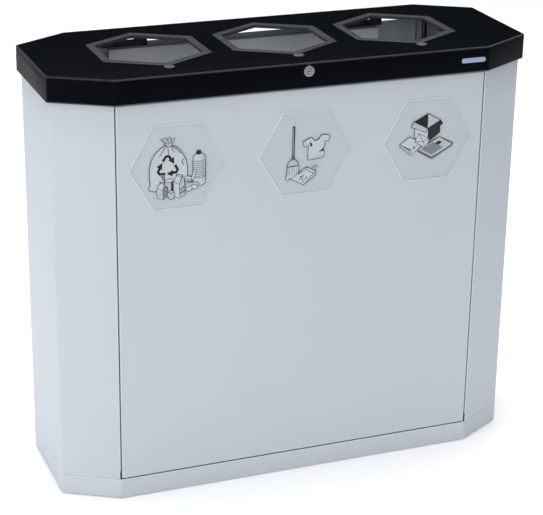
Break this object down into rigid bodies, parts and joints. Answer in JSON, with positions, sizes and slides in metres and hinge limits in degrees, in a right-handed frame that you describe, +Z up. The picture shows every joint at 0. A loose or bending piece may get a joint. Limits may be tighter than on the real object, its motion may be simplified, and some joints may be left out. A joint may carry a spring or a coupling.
{
  "type": "litter bin",
  "caption": "Free-standing waste-sorting station: eight-sided sheet-steel cabinet, front door, black lift-up lid with hexagonal openings, gas strut, cam lock and inner bins.",
  "frame": {"origin": "on the floor under the middle of the cabinet", "axes": "+X to the right seen from the front, +Y from the front door to the hinged back, +Z up"},
  "size_m": [1.02, 0.3731, 0.9],
  "materials": {
    "cabinet_paint": "light silver-grey powder coat, satin, very fine texture",
    "lid_paint": "black powder coat, satin",
    "frame_grey": "mid-grey moulded plastic, satin",
    "tab_grey": "light grey moulded plastic",
    "chrome": "polished nickel-chrome",
    "black_steel": "black, semi-gloss",
    "zinc_steel": "bright zinc plate",
    "rubber": "matt black",
    "liner": "light grey moulded plastic",
    "clear_label": "clear film label, gloss",
    "nylon": "natural nylon"
  },
  "bodies": {
    "cabinet": {"plinth_band": "cabinet_paint", "base_tray": "cabinet_paint", "left_side_shell": "cabinet_paint", "right_side_shell": "cabinet_paint", "back_panel": "cabinet_paint", "front_header": "cabinet_paint", "hinge_rail": "cabinet_paint", "foot_front_left": "rubber", "foot_front_right": "rubber", "foot_rear_left": "rubber", "foot_rear_right": "rubber", "hinge_body_leaf_left": "black_steel", "hinge_body_leaf_right": "black_steel", "hinge_pin_left": "zinc_steel", "hinge_pin_right": "zinc_steel", "lid_buffer_left": "rubber", "lid_buffer_right": "rubber", "door_magnet_lower": "zinc_steel", "door_magnet_upper": "zinc_steel", "lock_striker": "zinc_steel", "door_pin_lower": "zinc_steel", "door_pin_upper": "zinc_steel", "stop_knob": "black_steel", "strut_bracket": "zinc_steel"},
    "door": {"door_panel": "cabinet_paint", "door_bush_lower": "nylon", "door_bush_upper": "nylon", "door_strike_lower": "zinc_steel", "door_strike_upper": "zinc_steel", "label_plate_left": "clear_label", "label_plate_middle": "clear_label", "label_plate_right": "clear_label"},
    "lid": {"lid_cover": "lid_paint", "opening_frame_left": "frame_grey", "opening_frame_middle": "frame_grey", "opening_frame_right": "frame_grey", "frame_tab_left": "tab_grey", "frame_tab_middle": "tab_grey", "frame_tab_right": "tab_grey", "hinge_lid_leaf_left": "black_steel", "hinge_lid_leaf_right": "black_steel", "lid_rib_left": "lid_paint", "lid_rib_right": "lid_paint", "lock_housing": "chrome", "lock_nut": "zinc_steel", "strut_lid_bracket": "black_steel", "badge_plate": "chrome"},
    "lock": {"lock_plug": "chrome", "lock_cam": "zinc_steel", "lock_cam_screw": "zinc_steel"},
    "strut_lower": {"strut_lower_eye": "black_steel", "strut_rod": "zinc_steel"},
    "strut_upper": {"strut_tube": "black_steel", "strut_upper_eye": "black_steel"},
    "inner_bin_left_body": {"inner_bin_left": "liner"},
    "inner_bin_middle_body": {"inner_bin_middle": "liner"},
    "inner_bin_right_body": {"inner_bin_right": "liner"}
  },
  "joints": [
    {"name": "lid_hinge", "type": "hinge", "parent": "cabinet", "child": "lid", "pos_m": [0, 0.1755, 0.88], "axis": [-1, 0, 0], "range_deg": [0, 80]},
    {"name": "lock_turn", "type": "hinge", "parent": "lid", "child": "lock", "pos_m": [0, -0.17, 0.881], "axis": [0, -1, 0], "range_deg": [0, 90]},
    {"name": "door_hinge", "type": "hinge", "parent": "cabinet", "child": "door", "pos_m": [-0.37836, -0.1705, 0.4445], "axis": [0, 0, -1], "range_deg": [0, 110]},
    {"name": "strut_pivot", "type": "hinge", "parent": "cabinet", "child": "strut_lower", "pos_m": [0.40416, 0.118, 0.65], "axis": [-1, 0, 0], "range_deg": [0, 5.7]},
    {"name": "strut_slide", "type": "slide", "parent": "strut_lower", "child": "strut_upper", "axis": [0, 0.0931, 0.9957], "range_m": [0, 0.0396]},
    {"name": "inner_bin_left_lift", "type": "slide", "parent": "cabinet", "child": "inner_bin_left_body", "axis": [0, 0, 1], "range_m": [0, 0.055]},
    {"name": "inner_bin_middle_lift", "type": "slide", "parent": "cabinet", "child": "inner_bin_middle_body", "axis": [0, 0, 1], "range_m": [0, 0.055]},
    {"name": "inner_bin_right_lift", "type": "slide", "parent": "cabinet", "child": "inner_bin_right_body", "axis": [0, 0, 1], "range_m": [0, 0.055]}
  ],
  "couplings": [
    {"joint": "strut_pivot", "follows": "lid_hinge", "ratio": 0.06984},
    {"joint": "strut_slide", "follows": "lid_hinge", "m_per_rad": 0.02818}
  ]
}
